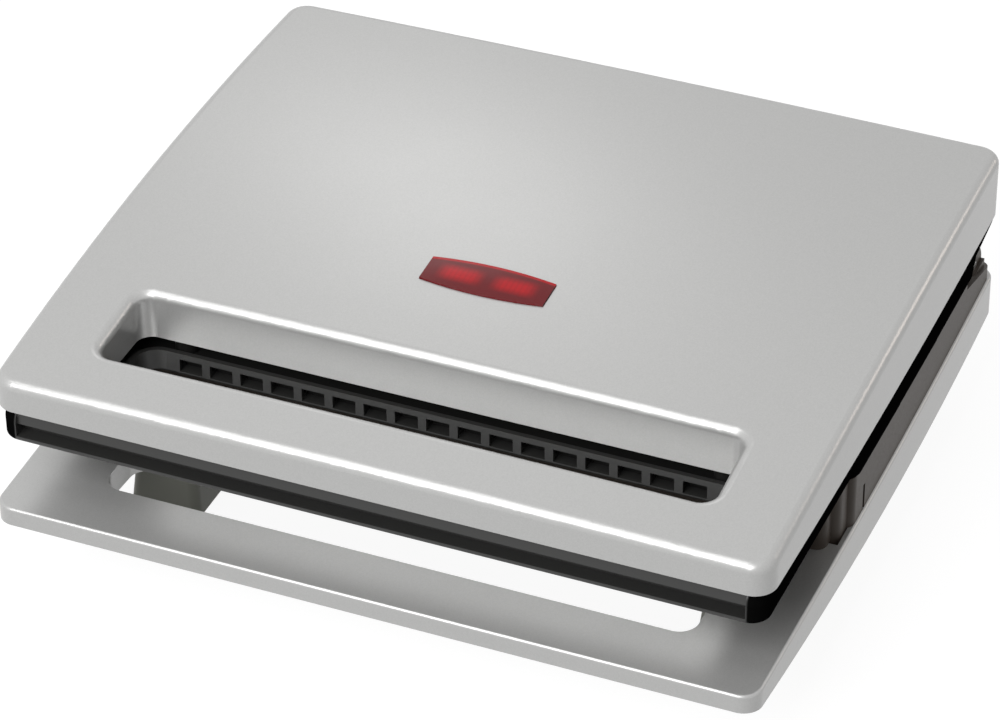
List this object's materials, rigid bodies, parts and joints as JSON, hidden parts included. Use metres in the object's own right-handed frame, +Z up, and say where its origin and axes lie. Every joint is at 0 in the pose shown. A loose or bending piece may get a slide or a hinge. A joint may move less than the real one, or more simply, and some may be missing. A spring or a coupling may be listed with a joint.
{
  "type": "sandwich maker",
  "caption": "Flat two-slice sandwich maker: silver hinged lid with a grip slot and red indicator window over triangle-pocket plates, silver tray base with a lower handle.",
  "frame": {"origin": "on the table under the middle of the closed appliance's footprint", "axes": "+X to the right seen from the front handle, +Y from the handle to the hinge, +Z up"},
  "size_m": [0.2422, 0.2214, 0.0882],
  "materials": {
    "silver_plastic": "satin silver paint on moulded plastic",
    "black_plastic": "black moulded plastic, satin",
    "grey_plastic": "dark brown-grey moulded plastic, satin",
    "cover_plastic": "dark grey moulded plastic, fine grain",
    "red_lens": "clear red plastic, ribbed inside",
    "lamp_plastic": "white heat-proof plastic",
    "lamp_glass": "clear glass tube",
    "coated_aluminium": "cast aluminium with black non-stick coat",
    "heater_steel": "oxidised steel sheath",
    "sheet_steel": "aluminised steel sheet",
    "screw_steel": "zinc-plated steel",
    "pin_steel": "bright steel",
    "switch_plastic": "brown phenolic moulding",
    "fuse_metal": "tinned metal case",
    "terminal_plastic": "white moulded plastic",
    "brass": "plain brass",
    "pad_rubber": "black rubber"
  },
  "bodies": {
    "base": {"base_shell": "silver_plastic", "base_frame": "grey_plastic", "bottom_cover": "cover_plastic", "base_screws": "screw_steel", "foot_pads": "pad_rubber", "hinge_pin_right": "pin_steel", "hinge_pin_left": "pin_steel", "lower_plate": "coated_aluminium", "lower_heater": "heater_steel", "lower_pan": "sheet_steel", "lower_plate_screws": "screw_steel", "thermostat": "switch_plastic", "thermostat_bracket": "sheet_steel", "thermal_fuse": "fuse_metal", "fuse_clip": "sheet_steel", "terminal_block": "terminal_plastic", "terminal_screws": "brass", "cord_gland": "black_plastic"},
    "lid": {"lid_shell": "silver_plastic", "lid_frame": "black_plastic", "lid_screws": "screw_steel", "indicator_lens": "red_lens", "lamp_box": "lamp_plastic", "neon_lamp": "lamp_glass", "upper_plate": "coated_aluminium", "upper_heater": "heater_steel", "upper_pan": "sheet_steel", "upper_plate_screws": "screw_steel"}
  },
  "joints": [
    {"name": "lid_hinge", "type": "hinge", "parent": "base", "child": "lid", "pos_m": [0, 0.0958, 0.0481], "axis": [-1, 0, 0], "range_deg": [0, 92]}
  ]
}
